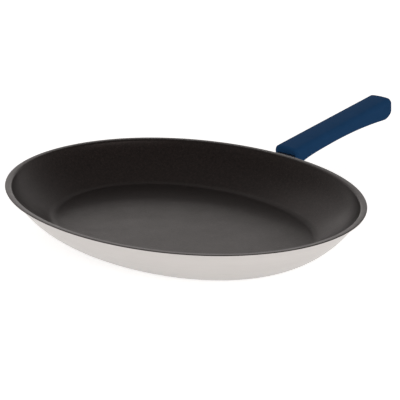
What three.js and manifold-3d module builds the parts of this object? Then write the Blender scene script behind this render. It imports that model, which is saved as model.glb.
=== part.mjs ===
// Oval frying pan with a riveted handle on its long side and a soft sleeve pushed over the handle.
// Units are mm. The base rests on Z = 0, X runs along the oval's long axis, the handle points to +Y.
import * as THREE from "three";
import { mergeVertices } from "three/addons/utils/BufferGeometryUtils.js";
import Module from "manifold-3d";

const { degToRad, lerp, smoothstep } = THREE.MathUtils;
const { sin, cos, tan, sqrt, acos, atan2, exp, max, min, PI } = Math;

// Rim and floor. An inset is a distance inwards from the rim's outermost edge.
const RIM_HALF_LENGTH = 180;
const RIM_HALF_WIDTH = 145.6;
const RIM_HEIGHT = 44.2;
const OVAL_FULLNESS = 0.0072; // how far the oval stands out from a true ellipse between its axes
const OVAL_SEGMENTS = 64;
const FLOOR_HEIGHT = 8.2;
const FLOOR_INSET = 47.5;
const FLOOR_BEND = 15; // radius between the floor and the wall

// Inner wall and the flared lip on top of it.
const WALL_FOOT_SLOPE = degToRad(32.5);
const WALL_TOP_SLOPE = degToRad(58);
const LIP_SLOPE = degToRad(6);
const LIP_WIDTH = 5.9;
const LIP_BEND = 1.8; // radius between the wall and the lip
const LIP_EDGE = 0.7; // radius of the lip's rounded outer edge
const LIP_UNDERSIDE = degToRad(21.2); // slope of the lip's underside

// Outer wall: a curve from under the lip to the foot, given by its ends and the meeting of its tangents.
const OUTER_TOP = new THREE.Vector2(4.7, RIM_HEIGHT - 3);
const OUTER_PULL = new THREE.Vector2(21.1, 12.9);
const OUTER_FOOT = new THREE.Vector2(50.6, 0.42);
const LIP_FILLET = 0.035; // share of the outer curve that the fillet under the lip takes
const BASE_INSET = 53;

// Non-stick coating. It ends on the upper half of the lip's rounded edge, and the rest of the edge is bare.
const COAT = 0.4;
const COAT_GAP = 0.1;
const COAT_END = degToRad(-68); // facing of the edge where the coating ends: 0 is up, -90 is outwards

// Handle: a pressed channel whose flange lies on the outer wall.
const SHEET = 2.5;
const SHEET_CORNER = 2;
const SHEET_FILLET = 0.4;
const PAD_GAP = 0.3;
const PAD_LOW = 0.57; // share of the outer curve at the flange's lower end
const PAD_HIGH = 0.16; // share of the outer curve at which the handle leaves the wall
const PAD_HALF_WIDTH = 27;
const PAD_CORNER = 14;
const PAD_RIM = 0.6;
const PAD_STATIONS = 12;
const TANG_HALF_WIDTH = 10.5;
const TANG_DEPTH = 4.4;
const TANG_END_CORNER = 4;
const FIT_GAP = 0.3;

// Rivets: countersunk inside under the coating, with a domed head on the handle's flange.
const RIVET_SHANK = 2.5;
const RIVET_SINK = 4.4;
const RIVET_HEAD = 4.9;
const RIVET_DOME = 2.4;
const RIVET_RECESS = 0.25;
const RIVET_GAP = 0.2;
const RIVET_SEGMENTS = 20;

// Grip sleeve, measured along its straight top from the end next to the pan.
const GRIP_START = new THREE.Vector2(158.6, 47); // Y and Z of the top's near end
const GRIP_TILT = degToRad(6);
const GRIP_LENGTH = 175;
const GRIP_HALF_WIDTH = 14.5;
const GRIP_WAIST = 15.85; // least thickness
const GRIP_WAIST_AT = 63;
const GRIP_FLARE = 0.00077; // growth of the thickness beyond the waist, per mm squared
const GRIP_COLLAR = 6.2; // extra thickness at the near end
const GRIP_COLLAR_FADE = 13;
const GRIP_CROWN = 1; // fall of the top from its middle to its sides
const GRIP_TOP_CORNER = 5;
const GRIP_LOW_CORNER = 5;
const GRIP_MOUTH_EDGE = 2.6;
const GRIP_END_EDGE = 4.4;
const GRIP_END_SWEEP = 14.5; // radius under the far end
const GRIP_WALL = 7.4; // over the tang
const GRIP_SOCKET_DEPTH = 158;

const wasm = await Module();
wasm.setup();

// A geometry as a solid for cutting, and back.
function toSolid(geometry) {
  const bare = geometry.clone();
  bare.deleteAttribute("normal");
  bare.deleteAttribute("uv");
  const welded = mergeVertices(bare, 1e-4);
  return new wasm.Manifold(
    new wasm.Mesh({
      numProp: 3,
      vertProperties: new Float32Array(welded.attributes.position.array),
      triVerts: new Uint32Array(welded.index.array),
    }),
  );
}

function toGeometry(solid) {
  const mesh = solid.getMesh();
  const geometry = new THREE.BufferGeometry();
  geometry.setAttribute("position", new THREE.BufferAttribute(mesh.vertProperties, 3));
  geometry.setIndex(new THREE.BufferAttribute(mesh.triVerts, 1));
  return geometry;
}

function subtract(geometry, cutters) {
  return toGeometry(cutters.reduce((left, c) => left.subtract(toSolid(c)), toSolid(geometry)));
}

// Triangles across a flat ring whose plane holds the X direction, each in the ring's own order.
function across(ring) {
  const spread = (axis) => max(...ring.map((p) => p[axis])) - min(...ring.map((p) => p[axis]));
  const axis = spread("y") > spread("z") ? "y" : "z";
  const contour = ring.map((p) => new THREE.Vector2(p.x, p[axis]));
  return THREE.ShapeUtils.triangulateShape(contour, []).map((face) => face.sort((a, b) => a - b));
}

// Closed skin over a row of rings with equal point counts.
function loft(rings) {
  const count = rings[0].length;
  const last = (rings.length - 1) * count;
  const faces = [];
  for (let low = 0; low < last; low += count) {
    const high = low + count;
    for (let j = 0; j < count; j++) {
      const k = (j + 1) % count;
      faces.push(low + j, low + k, high + k, low + j, high + k, high + j);
    }
  }
  across(rings[0]).forEach(([a, b, c]) => faces.push(c, b, a));
  across(rings.at(-1)).forEach(([a, b, c]) => faces.push(last + a, last + b, last + c));
  return new THREE.BufferGeometry().setFromPoints(rings.flat()).setIndex(faces);
}

// Point of the oval at an inset from the rim, by its angle.
function ovalPoint(inset, angle, height) {
  const swell = 1 + OVAL_FULLNESS * sin(2 * angle) ** 2;
  const x = (RIM_HALF_LENGTH - inset) * cos(angle) * swell;
  const y = (RIM_HALF_WIDTH - inset) * sin(angle) * swell;
  return new THREE.Vector3(x, y, height);
}

// Point of the oval's +Y side at an inset from the rim, by its X.
function ovalAtX(inset, x, height) {
  let angle = PI / 2;
  for (let i = 0; i < 4; i++) {
    const swell = 1 + OVAL_FULLNESS * sin(2 * angle) ** 2;
    angle = acos(x / ((RIM_HALF_LENGTH - inset) * swell));
  }
  return ovalPoint(inset, angle, height);
}

function ovalRing({ x: inset, y: height }) {
  return Array.from({ length: OVAL_SEGMENTS }, (_, i) =>
    ovalPoint(inset, (2 * PI * i) / OVAL_SEGMENTS, height),
  );
}

// Profile helpers: x is the inset, y the height. A slope is the climb angle on the way out to the rim.
const heading = (slope) => new THREE.Vector2(-cos(slope), sin(slope));
const facing = (slope) => new THREE.Vector2(sin(slope), cos(slope));

function meeting(p, slopeP, q, slopeQ) {
  const a = heading(slopeP);
  const b = heading(slopeQ);
  const gap = q.clone().sub(p);
  return p.clone().addScaledVector(a, (gap.x * b.y - gap.y * b.x) / (a.x * b.y - a.y * b.x));
}

function turn(centre, radius, from, to, steps) {
  return Array.from({ length: steps + 1 }, (_, i) =>
    centre.clone().addScaledVector(facing(lerp(from, to, i / steps)), radius),
  );
}

const bendCentre = new THREE.Vector2(FLOOR_INSET, FLOOR_HEIGHT + FLOOR_BEND);
const edgeCentre = new THREE.Vector2(LIP_EDGE, RIM_HEIGHT - LIP_EDGE);

function lipBendCentre() {
  const top = edgeCentre.clone().addScaledVector(facing(LIP_SLOPE), LIP_EDGE);
  const end = top.clone().addScaledVector(heading(LIP_SLOPE), -(LIP_WIDTH - top.x) / cos(LIP_SLOPE));
  return end.addScaledVector(facing(LIP_SLOPE), -LIP_BEND);
}

// Line at a depth under the coated surface, from the floor's edge up the wall and over the lip's edge.
function innerLine(depth, edgeEnd) {
  const bend = turn(bendCentre, -FLOOR_BEND - depth, 0, WALL_FOOT_SLOPE, 4);
  const lip = turn(lipBendCentre(), LIP_BEND - depth, WALL_TOP_SLOPE, LIP_SLOPE, 3);
  const edge = turn(edgeCentre, LIP_EDGE - depth, LIP_SLOPE, edgeEnd, 3);
  const foot = bend.at(-1);
  const pull = meeting(foot, WALL_FOOT_SLOPE, lip[0], WALL_TOP_SLOPE);
  const wall = new THREE.QuadraticBezierCurve(foot, pull, lip[0]).getPoints(7);
  return [...bend, ...wall.slice(1, -1), ...lip, ...edge];
}

const bareStart = COAT_END - COAT_GAP / LIP_EDGE;
const bareEdge = turn(edgeCentre, LIP_EDGE, bareStart, LIP_UNDERSIDE - PI, 4);
const metal = [...innerLine(COAT + COAT_GAP, bareStart), ...bareEdge];
const coatTop = innerLine(0, COAT_END);
const coatBack = innerLine(COAT, COAT_END);
const outerCurve = new THREE.QuadraticBezierCurve(OUTER_TOP, OUTER_PULL, OUTER_FOOT);

function outerProfile() {
  const wall = Array.from({ length: 10 }, (_, i) => outerCurve.getPoint(lerp(1, LIP_FILLET, i / 9)));
  const ground = new THREE.Vector2(BASE_INSET, 0);
  const steep = OUTER_FOOT.clone().sub(OUTER_PULL);
  const corner = new THREE.Vector2(OUTER_FOOT.x - (OUTER_FOOT.y * steep.x) / steep.y, 0);
  const foot = new THREE.QuadraticBezierCurve(ground, corner, OUTER_FOOT).getPoints(3);
  const underLip = metal.at(-1).clone().lerp(OUTER_TOP, 0.55);
  const fillet = new THREE.QuadraticBezierCurve(wall.at(-1), OUTER_TOP, underLip).getPoints(3);
  return [...foot.slice(0, -1), ...wall, ...fillet.slice(1)];
}

const outer = outerProfile();
const shellBlank = loft([...outer, ...metal.toReversed()].map(ovalRing));
const coat = loft([...coatBack, ...coatTop.toReversed()].map(ovalRing));

// Stations of the handle's upper face in the YZ plane: up the wall, round the bend, out along the tang.
const gripAxis = new THREE.Vector2(cos(GRIP_TILT), sin(GRIP_TILT));
const gripUp = new THREE.Vector2(-sin(GRIP_TILT), cos(GRIP_TILT));

function wallStation(share) {
  const inset = outerCurve.getPoint(share);
  const climb = outerCurve.getTangent(share);
  const angle = atan2(-climb.y, climb.x);
  const y = RIM_HALF_WIDTH - inset.x + PAD_GAP * sin(angle);
  const z = inset.y - PAD_GAP * cos(angle);
  return { point: new THREE.Vector2(y, z), angle, inset: inset.x };
}

function handleStations() {
  const stations = Array.from({ length: PAD_STATIONS }, (_, i) => {
    const way = 1 - cos((i / (PAD_STATIONS - 1)) * (PI / 2)); // closest where the flange's corners are
    return wallStation(lerp(PAD_LOW, PAD_HIGH, way));
  });
  const top = stations.at(-1);
  const tangLine = GRIP_START.clone().addScaledVector(gripUp, -GRIP_WALL - FIT_GAP);
  const away = new THREE.Vector2(cos(top.angle), sin(top.angle));
  const toLine = tangLine.clone().sub(top.point);
  const leg = toLine.cross(gripAxis) / away.cross(gripAxis);
  const radius = leg / tan((top.angle - GRIP_TILT) / 2);
  const centre = new THREE.Vector2(sin(top.angle), -cos(top.angle)).multiplyScalar(radius).add(top.point);
  for (let i = 1; i <= 6; i++) {
    const angle = lerp(top.angle, GRIP_TILT, i / 6);
    const point = new THREE.Vector2(-sin(angle), cos(angle)).multiplyScalar(radius).add(centre);
    stations.push({ point, angle, inset: top.inset });
  }
  const bendEnd = stations.at(-1).point;
  const tangEnd = tangLine.clone().addScaledVector(gripAxis, GRIP_SOCKET_DEPTH - FIT_GAP);
  const run = bendEnd.distanceTo(tangEnd);
  const stops = [4, 8, 12, 16, 20, 24, run - TANG_END_CORNER, run - TANG_END_CORNER / 4, run];
  for (const stop of stops) {
    const point = bendEnd.clone().addScaledVector(gripAxis, stop);
    stations.push({ point, angle: GRIP_TILT, inset: top.inset });
  }
  let length = 0;
  stations.forEach((s, i) => {
    length += i ? s.point.distanceTo(stations[i - 1].point) : 0;
    s.at = length;
  });
  return stations;
}

const stations = handleStations();
const padLength = stations[PAD_STATIONS - 1].at;
const handleLength = stations.at(-1).at;

// Half width and edge depth of the channel at a length along the handle.
function handleHalfWidth(at) {
  const corner = max(PAD_CORNER - at, 0) / PAD_CORNER;
  const pad = PAD_HALF_WIDTH * sqrt(1 - 0.86 * corner ** 2);
  const endCorner = max(at - handleLength + TANG_END_CORNER, 0);
  const tang = TANG_HALF_WIDTH - TANG_END_CORNER + sqrt(TANG_END_CORNER ** 2 - endCorner ** 2);
  return lerp(pad, tang, smoothstep(at, padLength - 5, padLength + 27));
}

function handleDepth(at) {
  return lerp(SHEET + PAD_RIM, TANG_DEPTH, smoothstep(at, padLength - 2, padLength + 20));
}

// One section of the channel, from the middle of its upper face round by +X.
function handleRing({ point, angle, inset, at }) {
  const half = handleHalfWidth(at);
  const depth = handleDepth(at);
  const hug = 1 - smoothstep(at, padLength - 2, padLength + 10);
  const flat = half - SHEET_CORNER;
  const inner = half - SHEET;
  const side = [0, 1, 2, 3].map((i) => [(flat * i) / 3, 0]);
  for (const bend of [PI / 6, PI / 3, PI / 2]) {
    side.push([flat + SHEET_CORNER * sin(bend), SHEET_CORNER * (cos(bend) - 1)]);
  }
  side.push([half, -depth], [inner, -depth], [inner, -SHEET - SHEET_FILLET]);
  side.push([inner - SHEET_FILLET, -SHEET], [inner / 2, -SHEET], [0, -SHEET]);
  const mirrored = side.slice(1, -1).toReversed().map(([x, up]) => [-x, up]);
  const crown = ovalAtX(inset, 0, 0).y;
  return [...side, ...mirrored].map(([x, up]) => {
    const lift = up + hug * sin(angle) * (crown - ovalAtX(inset, x, 0).y);
    return new THREE.Vector3(x, point.x - lift * sin(angle), point.y + lift * cos(angle));
  });
}

const handleBlank = loft(stations.map(handleRing));

// Rivets: each sits square to the outer wall at an X and at a share of the outer curve.
const RIVET_PLACES = {
  rivet_left: [-18, 0.29],
  rivet_right: [18, 0.29],
  rivet_lower: [0, 0.45],
};

// Metal left between the outer wall and the inner wall, measured square to the outer wall.
function wallThickness(share) {
  const start = outerCurve.getPoint(share);
  const climb = outerCurve.getTangent(share);
  const inward = new THREE.Vector2(-climb.y, climb.x);
  const depths = metal.slice(1).map((q, i) => {
    const p = metal[i];
    const edge = q.clone().sub(p);
    const gap = p.clone().sub(start);
    const part = gap.cross(inward) / inward.cross(edge);
    return part < 0 || part > 1 ? Infinity : gap.cross(edge) / inward.cross(edge);
  });
  return min(...depths.filter((depth) => depth > 0));
}

function rivetMatrix(x, share) {
  const { x: inset, y: height } = outerCurve.getPoint(share);
  const place = ovalAtX(inset, x, height);
  const level = ovalAtX(inset, x + 1, height).sub(ovalAtX(inset, x - 1, height));
  const climb = outerCurve.getTangent(share);
  const bearing = new THREE.Vector3(-level.y, level.x, 0).normalize();
  const out = bearing.multiplyScalar(-climb.y).setZ(-climb.x).normalize();
  const swing = new THREE.Quaternion().setFromUnitVectors(new THREE.Vector3(0, 1, 0), out);
  return new THREE.Matrix4().compose(place, swing, new THREE.Vector3(1, 1, 1));
}

function spun(pairs, matrix) {
  const profile = pairs.map(([radius, along]) => new THREE.Vector2(radius, along));
  return new THREE.LatheGeometry(profile, RIVET_SEGMENTS).applyMatrix4(matrix);
}

function rivet([x, share]) {
  const matrix = rivetMatrix(x, share);
  const sunkFace = RIVET_RECESS - wallThickness(share);
  const neck = sunkFace + RIVET_SINK - RIVET_SHANK;
  const seat = PAD_GAP + SHEET + RIVET_GAP;
  const dome = [0, 1, 2, 3, 4].map((i) => {
    const rise = (i / 4) * (PI / 2);
    return [i < 4 ? RIVET_HEAD * cos(rise) : 0, seat + 0.4 + (RIVET_DOME - 0.4) * sin(rise)];
  });
  const body = [[0, sunkFace], [RIVET_SINK, sunkFace], [RIVET_SHANK, neck], [RIVET_SHANK, seat]];
  const wide = RIVET_SINK + RIVET_GAP;
  const narrow = RIVET_SHANK + RIVET_GAP;
  const bore = [[0, sunkFace - 2], [wide, sunkFace - 2], [wide, sunkFace], [narrow, neck]];
  return {
    solid: spun([...body, [RIVET_HEAD, seat], ...dome], matrix),
    cutter: spun([...bore, [narrow, seat + 2], [0, seat + 2]], matrix),
  };
}

const rivets = Object.entries(RIVET_PLACES).map(([name, place]) => ({ name, ...rivet(place) }));
const cutters = rivets.map((r) => r.cutter);
const shell = subtract(shellBlank, cutters);
const handle = subtract(handleBlank, cutters);

// Rounded rectangle across the grip, from the middle of its top round by +X.
function gripRing(at, half, top, low, topCorner, lowCorner, crown = 0) {
  const fit = min(1, (0.9 * (top - low)) / (topCorner + lowCorner)); // smaller corners on a thin section
  const upper = topCorner * fit;
  const lower = lowCorner * fit;
  const bends = [0, PI / 6, PI / 3, PI / 2];
  const side = [[0, top], [(half - upper) / 2, top]];
  bends.forEach((bend) => side.push([half - upper * (1 - sin(bend)), top - upper * (1 - cos(bend))]));
  bends.forEach((bend) => side.push([half - lower * (1 - cos(bend)), low + lower * (1 - sin(bend))]));
  side.push([0, low]);
  const mirrored = side.slice(1, -1).toReversed().map(([x, up]) => [-x, up]);
  const start = GRIP_START.clone().addScaledVector(gripAxis, at);
  return [...side, ...mirrored].map(([x, up]) => {
    const fall = (crown * (x / half) ** 2 * (up - low)) / (top - low);
    const p = start.clone().addScaledVector(gripUp, up - fall);
    return new THREE.Vector3(x, p.x, p.y);
  });
}

// How far a rounded end of this radius falls back at a distance past the start of its rounding.
const roundOff = (past, radius) => radius - sqrt(max(radius ** 2 - max(past, 0) ** 2, 0));

function gripThickness(at) {
  const flare = GRIP_FLARE * max(at - GRIP_WAIST_AT, 0) ** 2;
  const collar = GRIP_COLLAR * exp(-at / GRIP_COLLAR_FADE);
  return GRIP_WAIST + flare + collar;
}

function gripOuterRing(at) {
  const mouth = roundOff(GRIP_MOUTH_EDGE - at, GRIP_MOUTH_EDGE);
  const end = roundOff(at - GRIP_LENGTH + GRIP_END_EDGE, GRIP_END_EDGE);
  const sweep = roundOff(at - GRIP_LENGTH + GRIP_END_SWEEP, GRIP_END_SWEEP);
  const half = GRIP_HALF_WIDTH - mouth - end;
  const low = mouth + max(end, sweep) - gripThickness(at);
  return gripRing(at, half, -mouth - end, low, GRIP_TOP_CORNER, GRIP_LOW_CORNER, GRIP_CROWN);
}

function gripStops() {
  const mouth = [0, 1, 2, 3].map((i) => GRIP_MOUTH_EDGE * (1 - cos((i * PI) / 6)));
  const straight = GRIP_LENGTH - GRIP_END_SWEEP;
  const body = Array.from({ length: 15 }, (_, i) => lerp(6, straight, i / 14));
  const sweep = [0.25, 0.5, 0.68].map((share) => straight + GRIP_END_SWEEP * share);
  const end = [0, 1, 2, 3].map((i) => GRIP_LENGTH - GRIP_END_EDGE * (1 - sin((i * PI) / 6)));
  return [...mouth, ...body, ...sweep, ...end];
}

function gripSocket() {
  const half = TANG_HALF_WIDTH + FIT_GAP;
  const low = -GRIP_WALL - TANG_DEPTH - 2 * FIT_GAP;
  return loft([-3, GRIP_SOCKET_DEPTH].map((at) => gripRing(at, half, -GRIP_WALL, low, 1.2, 0.6)));
}

const sleeve = subtract(loft(gripStops().map(gripOuterRing)), [gripSocket()]);

// Finishes.
const finish = (color, roughness, metalness) =>
  new THREE.MeshStandardMaterial({ color, roughness, metalness });
const FINISHES = {
  aluminium: () => finish("#cfcac5", 0.38, 1),
  coating: () => finish("#2c2c2e", 0.45, 0),
  steel: () => finish("#b9b9b7", 0.3, 1),
  rivet: () => finish("#c6c3bf", 0.35, 1),
  silicone: () => finish("#1d3652", 0.75, 0),
};

const pan = new THREE.Group();
pan.name = "oval_frying_pan";

function add(name, geometry, material) {
  const mesh = new THREE.Mesh(geometry, material);
  mesh.name = name;
  pan.add(mesh);
}

add("pan_shell", shell, FINISHES.aluminium());
add("nonstick_coating", coat, FINISHES.coating());
add("handle", handle, FINISHES.steel());
rivets.forEach(({ name, solid }) => add(name, solid, FINISHES.rivet()));
add("grip_sleeve", sleeve, FINISHES.silicone());

export default pan;
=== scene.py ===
"""Looks of the oval frying pan: smooth meshes over the CAD nodes, procedural finishes, studio and camera."""

import math

import bpy
import numpy as np
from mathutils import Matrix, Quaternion, Vector


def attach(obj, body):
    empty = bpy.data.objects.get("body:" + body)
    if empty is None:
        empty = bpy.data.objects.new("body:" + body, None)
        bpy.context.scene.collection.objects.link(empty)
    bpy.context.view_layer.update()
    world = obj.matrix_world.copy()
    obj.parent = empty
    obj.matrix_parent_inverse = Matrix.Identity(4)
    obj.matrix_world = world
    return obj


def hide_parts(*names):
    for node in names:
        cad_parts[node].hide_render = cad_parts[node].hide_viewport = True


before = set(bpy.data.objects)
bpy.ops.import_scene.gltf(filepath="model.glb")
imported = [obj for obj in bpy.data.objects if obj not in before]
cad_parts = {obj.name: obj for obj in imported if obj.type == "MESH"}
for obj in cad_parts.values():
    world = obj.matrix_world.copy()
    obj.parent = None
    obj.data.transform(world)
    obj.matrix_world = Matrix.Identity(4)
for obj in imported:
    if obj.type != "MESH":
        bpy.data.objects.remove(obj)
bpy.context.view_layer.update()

MM = 0.001
RIGHT_ANGLE = math.pi / 2

# Pan in mm. An inset is a distance inwards from the rim's outermost edge. The crowned lip, the steep top
# of the inner wall and the thinner gap under the coating are only here. The rest follows the part's source,
# with the rim and the grip up to 0.08 mm smaller, so that the model stays inside the solids' box.
RIM_HALF_LENGTH = 179.97
RIM_HALF_WIDTH = 145.57
RIM_HEIGHT = 44.19
OVAL_FULLNESS = 0.0072
FLOOR_HEIGHT = 8.2
FLOOR_INSET = 47.5
FLOOR_BEND = 15
WALL_FOOT_SLOPE = math.radians(32.5)
WALL_TOP_SLOPE = math.radians(68)
LIP_OUTER_SLOPE = 0
LIP_INNER_SLOPE = math.radians(9)
LIP_WIDTH = 4.4
LIP_BEND = 2.6
LIP_EDGE = 0.7
LIP_UNDERSIDE = math.radians(21.2)
LIP_FILLET = 0.035
LIP_FILLET_REACH = 0.55
OUTER_TOP = np.array([4.7, 41.2])
OUTER_PULL = np.array([21.1, 12.9])
OUTER_FOOT = np.array([50.6, 0.42])
BASE_INSET = 53
COAT = 0.4
COAT_GAP = 0.02
COAT_END = math.radians(-68)
EDGE_CENTRE = np.array([LIP_EDGE, RIM_HEIGHT - LIP_EDGE])

# Steps round the oval and along each stretch of the pan's section. Edges that turn by more than
# SHARP_EDGE are shaded sharp, on the other pieces too.
OVAL_STEPS = 320
OVAL_SEARCH_ROUNDS = 4
SHARP_EDGE = math.radians(35)
FLOOR_BEND_STEPS = 14
WALL_STEPS = 36
LIP_BEND_STEPS = 12
LIP_CROWN_STEPS = 8
LIP_EDGE_STEPS = 10
BASE_EDGE_STEPS = 8
OUTER_WALL_STEPS = 44
LIP_FILLET_STEPS = 12

# Handle in mm. The pad is the flange on the wall, placed by shares of the outer wall from its top.
SHEET = 2.5
SHEET_CORNER = 2
SHEET_FILLET = 0.4
SHEET_EDGE = 0.3
PAD_GAP = 0.3
PAD_LOW = 0.57
PAD_HIGH = 0.16
PAD_HALF_WIDTH = 27
PAD_CORNER = 14
PAD_END_DRAW = 0.86
PAD_RIM = 0.6
TANG_HALF_WIDTH = 10.5
TANG_DEPTH = 4.4
TANG_END_CORNER = 4
FIT_GAP = 0.3

# Stretches past the pad's top end, in mm, where the handle narrows, deepens and leaves the wall's curve.
NARROWING = (-5, 27)
DEEPENING = (-2, 20)
LEAVING = (-2, 10)

# Stations along the handle, and steps round its section. The neck's and the tang's stations are in mm
# from the end of the bend, but the tang's last one is in mm from the tang's end.
PAD_STEPS = 29
NECK_BEND_STEPS = 24
NECK_FIRST = 1.5
NECK_LAST = 27
NECK_STATIONS = 18
TANG_FIRST = 35
TANG_LAST = 10
TANG_STATIONS = 10
TANG_END_STEPS = 8
FACE_STEPS = 8
CORNER_STEPS = 8
UNDERSIDE_STEPS = 6

# Rivets in mm: place along X, and share of the outer wall from its top. The wall's direction at a rivet is
# taken over a reach to either side of it.
RIVETS = {"rivet_left": (-18, 0.29), "rivet_right": (18, 0.29), "rivet_lower": (0, 0.45)}
RIVET_REACH = 1
RIVET_SHANK = 2.5
RIVET_HEAD = 4.9
RIVET_DOME = 2.4
RIVET_BRIM = 0.4
RIVET_EDGE = 0.15
RIVET_GAP = 0.2
RIVET_STEPS = 48
RIVET_DOME_STEPS = 16

# Grip sleeve in mm, measured along its top from the end next to the pan.
GRIP_START = np.array([158.6, 46.99])
GRIP_TILT = math.radians(6)
GRIP_LENGTH = 174.92
GRIP_HALF_WIDTH = 14.5
GRIP_WAIST = 15.85
GRIP_WAIST_AT = 63
GRIP_FLARE = 0.00077
GRIP_COLLAR = 6.2
GRIP_COLLAR_FADE = 13
GRIP_CROWN = 1
GRIP_TOP_CORNER = 5
GRIP_LOW_CORNER = 5
GRIP_CORNER_ROOM = 0.9
GRIP_MOUTH_EDGE = 2.6
GRIP_END_EDGE = 4.4
GRIP_END_SWEEP = 14.5
GRIP_WALL = 7.4
GRIP_AXIS = np.array([math.cos(GRIP_TILT), math.sin(GRIP_TILT)])
GRIP_UP = np.array([-math.sin(GRIP_TILT), math.cos(GRIP_TILT)])
GRIP_BODY_FIRST = 3
GRIP_BODY_STATIONS = 60
GRIP_SWEEP_STEPS = 14
GRIP_EDGE_STEPS = 10
GRIP_CORNER_STEPS = 10
GRIP_FACE_STEPS = 5

# Socket of the sleeve in mm: stations from its closed end to the mouth, each (place, widening).
SOCKET_DEPTH = 158
SOCKET = ((SOCKET_DEPTH, 0), (120, 0), (80, 0), (40, 0), (10, 0), (1, 0.03), (0.4, 0.25), (0.1, 0.55))
SOCKET_TOP_CORNER = 1.2
SOCKET_LOW_CORNER = 0.6

# Finishes: linear colours from dark to light, the span of a noise that they are spread over, and the run
# in mm from the base's edge up the outer wall, over which the wall metal goes from a painted shade at the
# foot to bright.
COAT_GROUND = ((0.0004, 0.0001, 0.0001), (0.0120, 0.0080, 0.0070))
COAT_FLECK = ((0, 0, 0), (0.030, 0.0275, 0.0265))
COAT_TINT = (1, 0.88, 0.85, 1)
# The outer wall's darkest colour is painted shade, put on towards the foot.
WALL_METAL_AND_PAINTED_SHADE = ((0.44, 0.425, 0.412), (0.552, 0.533, 0.517), (0.60, 0.579, 0.562))
BASE_METAL = ((0.72, 0.70, 0.68), (0.78, 0.755, 0.735))
HANDLE_METAL = ((0.52, 0.52, 0.51), (0.60, 0.595, 0.58))
RIVET_METAL = ((0.66, 0.645, 0.63), (0.76, 0.745, 0.73))
GRIP_BLUE = ((0.0099, 0.0478, 0.1240), (0.0111, 0.0519, 0.1352))
NOISE_LOW = 0.3
NOISE_HIGH = 0.7
PAINTED_SHADE_RUN = 66

# Camera of the photo: place round the point on the pan's axis at the foot of the wall, then its own turn.
EYE_AZIMUTH = math.radians(41.681)
EYE_ELEVATION = math.radians(21.018)
EYE_DISTANCE = 1.21811
EYE_TARGET_HEIGHT = 0.009
EYE_YAW = math.radians(-0.851)
EYE_PITCH = math.radians(-1.074)
EYE_LENS = 117
EYE_SENSOR = 36

# Studio in metres. Strengths are radiances, with 1 as the picture's white. The sky's stops go by the sine
# of the elevation. A softbox's angles are in degrees, its azimuth from the camera's own.
FLOOR_SIZE = 16
FLOOR_DROP = 0.0003
FLOOR_PAPER = (0.85, 0.85, 0.85, 1)
FLOOR_GLOW = 0.62
SKY = ((0, 0.9), (0.14, 0.77), (0.34, 0.66), (0.55, 0.53), (0.74, 0.40), (0.88, 0.44), (1, 0.48))
LIGHT_TINT = (1, 0.955, 0.935)
SOFTBOXES = {
    "back_softbox": {"azimuth": 183, "elevation": 15, "distance": 2.2,
                     "width": 1.4, "height": 0.6, "radiance": 1.13},
    "front_softbox": {"azimuth": 21, "elevation": 20, "distance": 2.5,
                      "width": 2.6, "height": 1.0, "radiance": 1.9},
    "high_softbox": {"azimuth": 211, "elevation": 38, "distance": 2.4,
                     "width": 0.9, "height": 1.0, "radiance": 0.7},
}


# Curves in the profile plane

def lerp(a, b, t):
    return a + (b - a) * t


def smoothstep(x, low, high):
    t = min(max((x - low) / (high - low), 0), 1)
    return t * t * (3 - 2 * t)


def quarter_turn(steps):
    """Angles from 0 to a right angle."""
    return [i / steps * RIGHT_ANGLE for i in range(steps + 1)]


def heading(slope):
    return np.array([-math.cos(slope), math.sin(slope)])


def facing(slope):
    return np.array([math.sin(slope), math.cos(slope)])


def cross(a, b):
    return a[0] * b[1] - a[1] * b[0]


def turn(centre, radius, start, end, steps):
    return [centre + radius * facing(lerp(start, end, i / steps)) for i in range(steps + 1)]


def bezier(p, q, r, t):
    return (1 - t) ** 2 * p + 2 * t * (1 - t) * q + t * t * r


def bezier_points(p, q, r, steps):
    return [bezier(p, q, r, i / steps) for i in range(steps + 1)]


def outer_point(share):
    return bezier(OUTER_TOP, OUTER_PULL, OUTER_FOOT, share)


def outer_run(share):
    """Direction of the outer wall, downwards."""
    way = (1 - share) * (OUTER_PULL - OUTER_TOP) + share * (OUTER_FOOT - OUTER_PULL)
    return way / np.linalg.norm(way)


def inner_line(depth, edge_end):
    """Line at a depth under the coated surface: floor's edge, wall, lip and round the lip's edge."""
    bend_centre = np.array([FLOOR_INSET, FLOOR_HEIGHT + FLOOR_BEND])
    edge_top = EDGE_CENTRE + LIP_EDGE * facing(LIP_OUTER_SLOPE)
    crown_turn = math.sin(LIP_INNER_SLOPE) - math.sin(LIP_OUTER_SLOPE)
    crown_radius = (LIP_WIDTH - edge_top[0]) / crown_turn
    crown_centre = edge_top - crown_radius * facing(LIP_OUTER_SLOPE)
    lip_centre = crown_centre + (crown_radius - LIP_BEND) * facing(LIP_INNER_SLOPE)
    bend = turn(bend_centre, -FLOOR_BEND - depth, 0, WALL_FOOT_SLOPE, FLOOR_BEND_STEPS)
    lip = turn(lip_centre, LIP_BEND - depth, WALL_TOP_SLOPE, LIP_INNER_SLOPE, LIP_BEND_STEPS)
    crown = turn(crown_centre, crown_radius - depth, LIP_INNER_SLOPE, LIP_OUTER_SLOPE, LIP_CROWN_STEPS)
    edge = turn(EDGE_CENTRE, LIP_EDGE - depth, LIP_OUTER_SLOPE, edge_end, LIP_EDGE_STEPS)
    foot, head = bend[-1], lip[0]
    a, b = heading(WALL_FOOT_SLOPE), heading(WALL_TOP_SLOPE)
    pull = foot + a * cross(head - foot, b) / cross(a, b)
    wall = bezier_points(foot, pull, head, WALL_STEPS)
    return [*bend, *wall[1:-1], *lip, *crown[1:-1], *edge]


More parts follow.
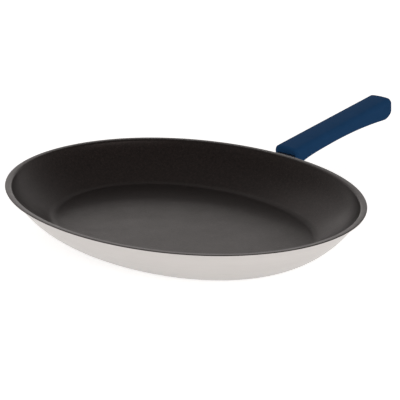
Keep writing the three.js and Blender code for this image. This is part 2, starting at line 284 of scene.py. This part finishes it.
def outer_profile(lip_end):
    """Outside of the metal, from the base's edge up to the underside of the lip."""
    steps = OUTER_WALL_STEPS
    wall = [outer_point(lerp(1, LIP_FILLET, i / steps)) for i in range(steps + 1)]
    steep = OUTER_FOOT - OUTER_PULL
    corner = np.array([OUTER_FOOT[0] - OUTER_FOOT[1] * steep[0] / steep[1], 0])
    foot = bezier_points(np.array([BASE_INSET, 0.0]), corner, OUTER_FOOT, BASE_EDGE_STEPS)
    fillet_end = lerp(lip_end, OUTER_TOP, LIP_FILLET_REACH)
    fillet = bezier_points(wall[-1], OUTER_TOP, fillet_end, LIP_FILLET_STEPS)
    return [*foot[:-1], *wall, *fillet[1:]]


# Oval

def oval(inset, angle):
    swell = 1 + OVAL_FULLNESS * np.sin(2 * angle) ** 2
    x = (RIM_HALF_LENGTH - inset) * np.cos(angle) * swell
    y = (RIM_HALF_WIDTH - inset) * np.sin(angle) * swell
    return np.stack([x, y], -1)


def oval_at_x(inset, x):
    """Y of the oval's handle side at an X."""
    angle = RIGHT_ANGLE
    for _ in range(OVAL_SEARCH_ROUNDS):
        swell = 1 + OVAL_FULLNESS * math.sin(2 * angle) ** 2
        angle = math.acos(x / ((RIM_HALF_LENGTH - inset) * swell))
    return oval(inset, np.array(angle))[1]


def oval_rings(profile):
    angles = np.arange(OVAL_STEPS) * 2 * math.pi / OVAL_STEPS
    return [np.column_stack([oval(p[0], angles), np.full(OVAL_STEPS, p[1])]) for p in profile]


# Mesh building

def run_lengths(profile):
    steps = [0.0] + [float(np.linalg.norm(b - a)) for a, b in zip(profile, profile[1:])]
    return np.cumsum(steps)


def skin(name, rings, runs):
    """Closed mesh over a row of rings, with the length along the row kept as the point attribute run."""
    count = len(rings[0])
    points = np.vstack(rings) * MM
    faces = []
    for i in range(len(rings) - 1):
        low, high = i * count, (i + 1) * count
        for j in range(count):
            k = (j + 1) % count
            faces.append((low + j, low + k, high + k, high + j))
    last = (len(rings) - 1) * count
    faces.append(tuple(range(count - 1, -1, -1)))
    faces.append(tuple(range(last, last + count)))
    mesh = bpy.data.meshes.new(name)
    mesh.from_pydata(points.tolist(), [], faces)
    mesh.polygons.foreach_set("use_smooth", [True] * len(faces))
    mesh.set_sharp_from_angle(angle=SHARP_EDGE)
    run = mesh.attributes.new("run", "FLOAT", "POINT")
    run.data.foreach_set("value", np.repeat(np.asarray(runs, np.float32), count))
    mesh.update()
    piece = bpy.data.objects.new(name, mesh)
    bpy.context.scene.collection.objects.link(piece)
    return piece


def mirrored(side):
    """Half a section, from its top to its underside, with its mirror image to close the ring."""
    return [*side, *[(-x, up) for x, up in side[-2:0:-1]]]


def stand_for(piece, node, body, slot, *materials):
    for material in materials:
        piece.data.materials.append(material)
    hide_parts(node)
    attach(piece, body)
    return piece


# Material building

class Finish:
    """A procedural material: its node tree, its shader and short names for the nodes that it uses."""

    def __init__(self, name):
        self.material = bpy.data.materials.new(name)
        self.material.use_nodes = True
        self.tree = self.material.node_tree
        self.shader = self.tree.nodes["Principled BSDF"]
        self.place = self.tree.nodes.new("ShaderNodeTexCoord").outputs["Object"]

    def set(self, **values):
        for name, value in values.items():
            self.shader.inputs[name.replace("_", " ").title().replace("Ior", "IOR")].default_value = value

    def link(self, output, name):
        self.tree.links.new(output, self.shader.inputs[name])

    def node(self, kind, **inputs):
        made = self.tree.nodes.new(kind)
        for name, value in inputs.items():
            socket = made.inputs[name]
            if isinstance(value, bpy.types.NodeSocket):
                self.tree.links.new(value, socket)
            else:
                socket.default_value = value
        return made

    def stretched(self, x, y, z):
        return self.node("ShaderNodeMapping", Vector=self.place, Scale=(x, y, z)).outputs["Vector"]

    def run(self, reach, value):
        """Length along the piece's run, as a number that gets to a value after a reach in mm."""
        length = self.tree.nodes.new("ShaderNodeAttribute")
        length.attribute_name = "run"
        ranged = self.node("ShaderNodeMapRange", Value=length.outputs["Fac"])
        ranged.clamp = False
        ranged.inputs["From Max"].default_value = reach
        ranged.inputs["To Max"].default_value = value
        return ranged.outputs["Result"]

    def along_run(self, slow, fast):
        """Coordinates that change slowly round the piece and fast along its run."""
        apart = self.node("ShaderNodeSeparateXYZ", Vector=self.stretched(slow, slow, slow))
        return self.node("ShaderNodeCombineXYZ", X=apart.outputs["X"], Y=apart.outputs["Y"],
                         Z=self.run(1, fast)).outputs["Vector"]

    def noise(self, vector, scale, detail=3, roughness=0.55):
        made = self.node("ShaderNodeTexNoise", Vector=vector, Scale=scale, Detail=detail, Roughness=roughness)
        return made.outputs["Fac"]

    def ramp(self, value, *stops):
        made = self.node("ShaderNodeValToRGB", Fac=value)
        elements = made.color_ramp.elements
        while len(elements) < len(stops):
            elements.new(0.5)
        for element, (position, colour) in zip(elements, stops):
            element.position = position
            element.color = (*colour, 1)
        return made.outputs["Color"]

    def shades(self, noise, dark, light):
        return self.ramp(noise, (NOISE_LOW, dark), (NOISE_HIGH, light))

    def sum(self, first, second):
        made = self.node("ShaderNodeVectorMath", Vector=first)
        self.tree.links.new(second, made.inputs[1])
        return made.outputs["Vector"]

    def stirred(self, value, noise, share):
        """A value with a share of a noise added to it."""
        made = self.tree.nodes.new("ShaderNodeMath")
        made.operation = "MULTIPLY_ADD"
        self.tree.links.new(noise, made.inputs[0])
        made.inputs[1].default_value = share
        self.tree.links.new(value, made.inputs[2])
        return made.outputs[0]

    def spread(self, noise, low, high):
        made = self.node("ShaderNodeMapRange", Value=noise)
        made.inputs["From Min"].default_value = NOISE_LOW
        made.inputs["From Max"].default_value = NOISE_HIGH
        made.inputs["To Min"].default_value = low
        made.inputs["To Max"].default_value = high
        return made.outputs["Result"]

    def bump(self, height, strength, distance, under=None):
        made = self.node("ShaderNodeBump", Height=height, Strength=strength, Distance=distance)
        if under is not None:
            self.tree.links.new(under, made.inputs["Normal"])
        return made.outputs["Normal"]


def coating_finish():
    """Charcoal non-stick: mottled ground, small pale flecks, cloudy gloss and a fine orange peel."""
    f = Finish("nonstick_coating")
    dark, light = COAT_GROUND
    none, fleck = COAT_FLECK
    mottle = f.noise(f.place, scale=420, detail=4, roughness=0.75)
    speckle = f.noise(f.place, scale=1400, detail=2, roughness=0.6)
    cloud = f.noise(f.place, scale=70, detail=5, roughness=0.65)
    peel = f.noise(f.place, scale=900, detail=2)
    ground = f.ramp(mottle, (0.34, dark), (0.68, light))
    flecks = f.ramp(speckle, (0.56, none), (0.76, fleck))
    f.link(f.sum(ground, flecks), "Base Color")
    f.link(f.spread(cloud, low=0.30, high=0.35), "Roughness")
    peeled = f.bump(peel, strength=0.32, distance=0.0001)
    f.link(f.bump(mottle, strength=0.10, distance=0.0003, under=peeled), "Normal")
    f.set(specular_ior_level=0.22, specular_tint=COAT_TINT)
    return f.material


def aluminium_finish():
    """Bare outer wall: turning marks round it, and painted shade that darkens the metal's colour towards the
    foot.
    """
    f = Finish("pan_aluminium")
    foot_shade, middle, bright = WALL_METAL_AND_PAINTED_SHADE
    turned = f.noise(f.along_run(slow=5, fast=2.2), scale=1, detail=4, roughness=0.7)
    grain = f.noise(f.place, scale=2200, detail=2)
    cloud = f.noise(f.place, scale=14, detail=4)
    # Painted shade: the metal's colour is darker towards the foot and fades out up the wall towards the lip.
    height = f.stirred(f.run(PAINTED_SHADE_RUN, 1), cloud, share=0.3)
    f.link(f.ramp(height, (0.15, foot_shade), (0.6, middle), (1, bright)), "Base Color")
    f.link(f.spread(turned, low=0.32, high=0.50), "Roughness")
    grained = f.bump(grain, strength=0.05, distance=0.00004)
    f.link(f.bump(turned, strength=0.5, distance=0.00012, under=grained), "Normal")
    f.set(metallic=1.0)
    return f.material


def base_finish():
    """Underside, ground along X."""
    f = Finish("pan_base")
    ground = f.noise(f.stretched(12, 2600, 1), scale=1)
    cloud = f.noise(f.place, scale=20, detail=4)
    f.link(f.shades(cloud, *BASE_METAL), "Base Color")
    f.link(f.spread(ground, low=0.30, high=0.46), "Roughness")
    f.link(f.bump(ground, strength=0.25, distance=0.00008), "Normal")
    f.set(metallic=1.0)
    return f.material


def steel_finish():
    """Handle's sheet, brushed along the handle."""
    f = Finish("handle_steel")
    brushed = f.noise(f.stretched(2400, 18, 900), scale=1)
    cloud = f.noise(f.place, scale=40)
    f.link(f.shades(cloud, *HANDLE_METAL), "Base Color")
    f.link(f.spread(brushed, low=0.24, high=0.38), "Roughness")
    f.link(f.bump(brushed, strength=0.12, distance=0.00005), "Normal")
    f.set(metallic=1.0)
    return f.material


def rivet_finish():
    f = Finish("rivet_aluminium")
    pressed = f.noise(f.place, scale=700)
    f.link(f.shades(pressed, *RIVET_METAL), "Base Color")
    f.link(f.spread(pressed, low=0.30, high=0.44), "Roughness")
    f.link(f.bump(pressed, strength=0.10, distance=0.00008), "Normal")
    f.set(metallic=1.0)
    return f.material


def silicone_finish():
    """Matt navy silicone with a fine moulded grain."""
    f = Finish("grip_silicone")
    cloud = f.noise(f.place, scale=60, detail=4)
    matt = f.noise(f.place, scale=2600, detail=2)
    f.link(f.shades(cloud, *GRIP_BLUE), "Base Color")
    f.link(f.spread(matt, low=0.72, high=0.86), "Roughness")
    f.link(f.bump(matt, strength=0.18, distance=0.00008), "Normal")
    f.set(specular_ior_level=0.05)
    return f.material


# Pieces

def build_coating(material):
    row = [*inner_line(COAT, COAT_END), *inner_line(0, COAT_END)[::-1]]
    piece = skin("coating", oval_rings(row), run_lengths(row))
    return stand_for(piece, "nonstick_coating", "pan", "nonstick", material)


def build_shell(wall_material, base_material):
    bare_start = COAT_END - COAT_GAP / LIP_EDGE
    bare = turn(EDGE_CENTRE, LIP_EDGE, bare_start, LIP_UNDERSIDE - math.pi, LIP_EDGE_STEPS)
    metal = [*inner_line(COAT + COAT_GAP, bare_start), *bare]
    row = [*outer_profile(metal[-1]), *metal[::-1]]
    piece = skin("shell", oval_rings(row), run_lengths(row))
    stand_for(piece, "pan_shell", "pan", "pan_aluminium", wall_material, base_material)
    # The face over the first ring is the underside, and skin adds it last but one.
    base_face = piece.data.polygons[-2]
    base_face.material_index = 1
    return piece


def pad_stations():
    """Stations of the flange up the outer wall, each (point, angle, inset) in the YZ plane."""
    found = []
    for rise in quarter_turn(PAD_STEPS):
        share = lerp(PAD_LOW, PAD_HIGH, 1 - math.cos(rise))
        inset, height = outer_point(share)
        run = outer_run(share)
        angle = math.atan2(-run[1], run[0])
        wall = np.array([RIM_HALF_WIDTH - inset, height])
        found.append((wall + PAD_GAP * np.array([math.sin(angle), -math.cos(angle)]), angle, inset))
    return found


def handle_path():
    """Stations of the handle's upper face, each (point, angle, inset, length so far).

    With them come the length up to the pad's top end and the full length.
    """
    found = pad_stations()
    point, top_angle, inset = found[-1]
    tang_line = GRIP_START - GRIP_UP * (GRIP_WALL + FIT_GAP)
    away = np.array([math.cos(top_angle), math.sin(top_angle)])
    leg = cross(tang_line - point, GRIP_AXIS) / cross(away, GRIP_AXIS)
    radius = leg / math.tan((top_angle - GRIP_TILT) / 2)
    centre = point + radius * np.array([math.sin(top_angle), -math.cos(top_angle)])
    for i in range(1, NECK_BEND_STEPS + 1):
        angle = lerp(top_angle, GRIP_TILT, i / NECK_BEND_STEPS)
        found.append((centre + radius * np.array([-math.sin(angle), math.cos(angle)]), angle, inset))
    bend_end = found[-1][0]
    tang_end = tang_line + GRIP_AXIS * (SOCKET_DEPTH - FIT_GAP)
    length = np.linalg.norm(tang_end - bend_end)
    neck = np.linspace(NECK_FIRST, NECK_LAST, NECK_STATIONS)
    tang = np.linspace(TANG_FIRST, length - TANG_LAST, TANG_STATIONS)
    corner = [length - TANG_END_CORNER * (1 - math.sin(a)) for a in quarter_turn(TANG_END_STEPS)]
    for stop in [*neck, *tang, *corner]:
        found.append((bend_end + GRIP_AXIS * stop, GRIP_TILT, inset))
    lengths = run_lengths([f[0] for f in found])
    return [(*f, at) for f, at in zip(found, lengths)], lengths[PAD_STEPS], lengths[-1]


def channel_side(half, depth):
    """Half the section of the pressed channel: upper face, corner, turned-down side and underside."""
    flat, inner = half - SHEET_CORNER, half - SHEET
    side = [(flat * i / FACE_STEPS, 0) for i in range(FACE_STEPS + 1)]
    for bend in quarter_turn(CORNER_STEPS)[1:]:
        side.append((flat + SHEET_CORNER * math.sin(bend), SHEET_CORNER * (math.cos(bend) - 1)))
    side += [(half, -depth + SHEET_EDGE), (half - SHEET_EDGE, -depth)]
    side += [(inner + SHEET_EDGE, -depth), (inner, -depth + SHEET_EDGE / 2)]
    side += [(inner, -SHEET - SHEET_FILLET), (inner - SHEET_FILLET, -SHEET)]
    side += [(inner * i / UNDERSIDE_STEPS, -SHEET) for i in range(UNDERSIDE_STEPS - 1, -1, -1)]
    return side


def handle_ring(station, pad_length, full_length):
    """One section of the handle, from the middle of its upper face round by +X."""
    point, angle, inset, at = station
    past_pad = at - pad_length
    past_corner = max(at - full_length + TANG_END_CORNER, 0)
    pad = PAD_HALF_WIDTH * math.sqrt(1 - PAD_END_DRAW * (max(PAD_CORNER - at, 0) / PAD_CORNER) ** 2)
    tang = TANG_HALF_WIDTH - TANG_END_CORNER + math.sqrt(max(TANG_END_CORNER ** 2 - past_corner ** 2, 0))
    half = lerp(pad, tang, smoothstep(past_pad, *NARROWING))
    depth = lerp(SHEET + PAD_RIM, TANG_DEPTH, smoothstep(past_pad, *DEEPENING))
    hug = 1 - smoothstep(past_pad, *LEAVING)
    crown = oval_at_x(inset, 0)
    ring = []
    for x, up in mirrored(channel_side(half, depth)):
        lift = up + hug * math.sin(angle) * (crown - oval_at_x(inset, x))
        ring.append((x, point[0] - lift * math.sin(angle), point[1] + lift * math.cos(angle)))
    return np.array(ring)


def build_handle(material):
    path, pad_length, full_length = handle_path()
    rings = [handle_ring(station, pad_length, full_length) for station in path]
    piece = skin("handle_channel", rings, [station[3] for station in path])
    return stand_for(piece, "handle", "pan", "handle_steel", material)


def rivet_profile():
    """Half section of the shank and the domed head, each (radius, height over the outer wall)."""
    seat = PAD_GAP + SHEET + RIVET_GAP
    brim_top = seat + RIVET_BRIM
    shank = [(RIVET_SHANK, 0.0), (RIVET_SHANK, seat)]
    brim = [(RIVET_HEAD - RIVET_EDGE, seat), (RIVET_HEAD, seat + RIVET_EDGE), (RIVET_HEAD, brim_top)]
    rise = RIVET_DOME - RIVET_BRIM
    bends = quarter_turn(RIVET_DOME_STEPS)[1:-1]
    dome = [(RIVET_HEAD * math.cos(b), brim_top + rise * math.sin(b)) for b in bends]
    return [*shank, *brim, *dome]


def build_rivet(name, x, share, material):
    """Domed head on the handle's flange, square to the outer wall."""
    inset, height = outer_point(share)
    run = outer_run(share)
    level = oval_at_x(inset, x + RIVET_REACH) - oval_at_x(inset, x - RIVET_REACH)
    bearing = Vector((-level, 2 * RIVET_REACH, 0)).normalized()
    out = (bearing * -run[1] + Vector((0, 0, -run[0]))).normalized()
    turnings = np.arange(RIVET_STEPS) * 2 * math.pi / RIVET_STEPS
    swing = Quaternion(Vector((0, 0, 1)).rotation_difference(out))
    place = Vector((x, oval_at_x(inset, x), height))
    profile = rivet_profile()
    rings = []
    for radius, along in profile:
        upright = [Vector((radius * math.cos(t), radius * math.sin(t), along)) for t in turnings]
        rings.append(np.array([tuple(swing @ spot + place) for spot in upright]))
    piece = skin(name + "_head", rings, run_lengths([np.array(p) for p in profile]))
    return stand_for(piece, name, "pan", "rivet_aluminium", material)


def round_off(past, radius):
    """Drop of a rounded edge at a distance past its start."""
    return radius - math.sqrt(max(radius ** 2 - max(past, 0) ** 2, 0))


def grip_ring(at, half, top, low, top_corner, low_corner, crown=0):
    """Rounded rectangle across the grip, from the middle of its top round by +X."""
    fit = min(1, GRIP_CORNER_ROOM * (top - low) / (top_corner + low_corner))
    upper, lower = top_corner * fit, low_corner * fit
    steps = GRIP_FACE_STEPS
    bends = quarter_turn(GRIP_CORNER_STEPS)
    side = [((half - upper) * i / steps, top) for i in range(steps)]
    side += [(half - upper * (1 - math.sin(b)), top - upper * (1 - math.cos(b))) for b in bends]
    side += [(half - lower * (1 - math.cos(b)), low + lower * (1 - math.sin(b))) for b in bends]
    side += [((half - lower) * i / steps, low) for i in range(steps - 1, -1, -1)]
    start = GRIP_START + GRIP_AXIS * at
    ring = []
    for x, up in mirrored(side):
        fall = crown * (x / half) ** 2 * (up - low) / (top - low)
        y, z = start + GRIP_UP * (up - fall)
        ring.append((x, y, z))
    return np.array(ring)


def grip_outer_ring(at):
    thickness = GRIP_WAIST + GRIP_FLARE * max(at - GRIP_WAIST_AT, 0) ** 2
    thickness += GRIP_COLLAR * math.exp(-at / GRIP_COLLAR_FADE)
    mouth = round_off(GRIP_MOUTH_EDGE - at, GRIP_MOUTH_EDGE)
    end = round_off(at - GRIP_LENGTH + GRIP_END_EDGE, GRIP_END_EDGE)
    sweep = round_off(at - GRIP_LENGTH + GRIP_END_SWEEP, GRIP_END_SWEEP)
    half = GRIP_HALF_WIDTH - mouth - end
    return grip_ring(at, half, -mouth - end, mouth + max(end, sweep) - thickness,
                     GRIP_TOP_CORNER, GRIP_LOW_CORNER, GRIP_CROWN)


def grip_stops():
    """Places along the outside of the grip, close together at its rounded ends."""
    bends = quarter_turn(GRIP_EDGE_STEPS)
    straight = GRIP_LENGTH - GRIP_END_SWEEP
    mouth = [GRIP_MOUTH_EDGE * (1 - math.cos(b)) for b in bends]
    body = np.linspace(GRIP_BODY_FIRST, straight, GRIP_BODY_STATIONS)
    sweep = [straight + GRIP_END_SWEEP * math.sin(b) for b in quarter_turn(GRIP_SWEEP_STEPS)[1:]]
    end = [GRIP_LENGTH - GRIP_END_EDGE * (1 - math.sin(b)) for b in bends]
    return sorted({*mouth, *body, *sweep, *end})


def socket_ring(at, wider):
    """Section of the socket, which leaves the tang a gap all round."""
    half = TANG_HALF_WIDTH + FIT_GAP
    low = -GRIP_WALL - TANG_DEPTH - 2 * FIT_GAP
    return grip_ring(at, half + wider, -GRIP_WALL + wider, low - wider, SOCKET_TOP_CORNER, SOCKET_LOW_CORNER)


def build_sleeve(material):
    """Sleeve with its socket: inside first, out over the mouth and along the outside to the closed end."""
    stops = grip_stops()
    rings = [socket_ring(at, wider) for at, wider in SOCKET]
    rings += [grip_outer_ring(at) for at in stops]
    piece = skin("sleeve", rings, [*[at for at, _ in SOCKET], *stops])
    return stand_for(piece, "grip_sleeve", "sleeve", "grip_silicone", material)


# Studio

def floor_glow(tree):
    """Light that the paper seems to give off: only to the camera, to mirrors and to glass."""
    path = tree.nodes.new("ShaderNodeLightPath")
    seen = path.outputs["Is Camera Ray"]
    for way in ("Is Glossy Ray", "Is Transmission Ray"):
        either = tree.nodes.new("ShaderNodeMath")
        either.operation = "MAXIMUM"
        tree.links.new(seen, either.inputs[0])
        tree.links.new(path.outputs[way], either.inputs[1])
        seen = either.outputs[0]
    scaled = tree.nodes.new("ShaderNodeMapRange")
    scaled.inputs["To Max"].default_value = FLOOR_GLOW
    tree.links.new(seen, scaled.inputs["Value"])
    return scaled.outputs["Result"]


def build_floor():
    """Pale paper that keeps the pan's shadow, reads as white and is clear from below."""
    bpy.ops.mesh.primitive_plane_add(size=FLOOR_SIZE, location=(0, 0, -FLOOR_DROP))
    floor = bpy.context.object
    floor.name = "floor"
    material = bpy.data.materials.new("floor_paper")
    material.use_nodes = True
    tree = material.node_tree
    paper = tree.nodes["Principled BSDF"]
    paper.inputs["Base Color"].default_value = FLOOR_PAPER
    paper.inputs["Roughness"].default_value = 1
    paper.inputs["Specular IOR Level"].default_value = 0
    paper.inputs["Emission Color"].default_value = (1, 1, 1, 1)
    tree.links.new(floor_glow(tree), paper.inputs["Emission Strength"])
    side = tree.nodes.new("ShaderNodeNewGeometry")
    clear = tree.nodes.new("ShaderNodeBsdfTransparent")
    mix = tree.nodes.new("ShaderNodeMixShader")
    tree.links.new(side.outputs["Backfacing"], mix.inputs[0])
    tree.links.new(paper.outputs[0], mix.inputs[1])
    tree.links.new(clear.outputs[0], mix.inputs[2])
    tree.links.new(mix.outputs[0], tree.nodes["Material Output"].inputs["Surface"])
    floor.data.materials.append(material)


def build_world():
    """Soft light from all round, brightest at the horizon."""
    world = bpy.data.worlds.new("studio")
    bpy.context.scene.world = world
    world.use_nodes = True
    tree = world.node_tree
    coords = tree.nodes.new("ShaderNodeTexCoord")
    apart = tree.nodes.new("ShaderNodeSeparateXYZ")
    tree.links.new(coords.outputs["Generated"], apart.inputs[0])
    ramp = tree.nodes.new("ShaderNodeValToRGB")
    tree.links.new(apart.outputs["Z"], ramp.inputs[0])
    elements = ramp.color_ramp.elements
    while len(elements) < len(SKY):
        elements.new(0.5)
    for element, (height, level) in zip(elements, SKY):
        element.position = height
        element.color = (*(level * share for share in LIGHT_TINT), 1)
    tree.links.new(ramp.outputs["Color"], tree.nodes["Background"].inputs["Color"])


def eye_side(azimuth, elevation):
    """Direction from the pan towards a place at an azimuth and an elevation."""
    level = math.cos(elevation)
    return Vector((math.sin(azimuth) * level, -math.cos(azimuth) * level, math.sin(elevation)))


def build_softbox(name, azimuth, elevation, distance, width, height, radiance):
    """Soft rectangular lamp that faces the pan and that the camera doesn't see."""
    lamp = bpy.data.lights.new(name, "AREA")
    lamp.color = LIGHT_TINT
    lamp.shape = "RECTANGLE"
    lamp.size = width
    lamp.size_y = height
    lamp.energy = radiance * math.pi * width * height
    softbox = bpy.data.objects.new(name, lamp)
    bpy.context.scene.collection.objects.link(softbox)
    towards = eye_side(EYE_AZIMUTH + math.radians(azimuth), math.radians(elevation))
    softbox.location = towards * distance
    softbox.rotation_euler = towards.to_track_quat("Z", "Y").to_euler()
    softbox.visible_camera = False


def build_camera():
    camera = bpy.data.objects.new("camera", bpy.data.cameras.new("camera"))
    bpy.context.scene.collection.objects.link(camera)
    bpy.context.scene.camera = camera
    camera.data.lens = EYE_LENS
    camera.data.sensor_width = EYE_SENSOR
    back = eye_side(EYE_AZIMUTH, EYE_ELEVATION)
    camera.location = Vector((0, 0, EYE_TARGET_HEIGHT)) + back * EYE_DISTANCE
    camera.rotation_euler = (RIGHT_ANGLE - EYE_ELEVATION - EYE_PITCH, 0, EYE_AZIMUTH + EYE_YAW)


build_coating(coating_finish())
build_shell(aluminium_finish(), base_finish())
build_handle(steel_finish())
rivet_material = rivet_finish()
for rivet_name, (rivet_x, rivet_share) in RIVETS.items():
    build_rivet(rivet_name, rivet_x, rivet_share, rivet_material)
build_sleeve(silicone_finish())
build_floor()
build_world()
for softbox_name, softbox_values in SOFTBOXES.items():
    build_softbox(softbox_name, **softbox_values)
build_camera()
bpy.context.scene.view_settings.view_transform = "Standard"
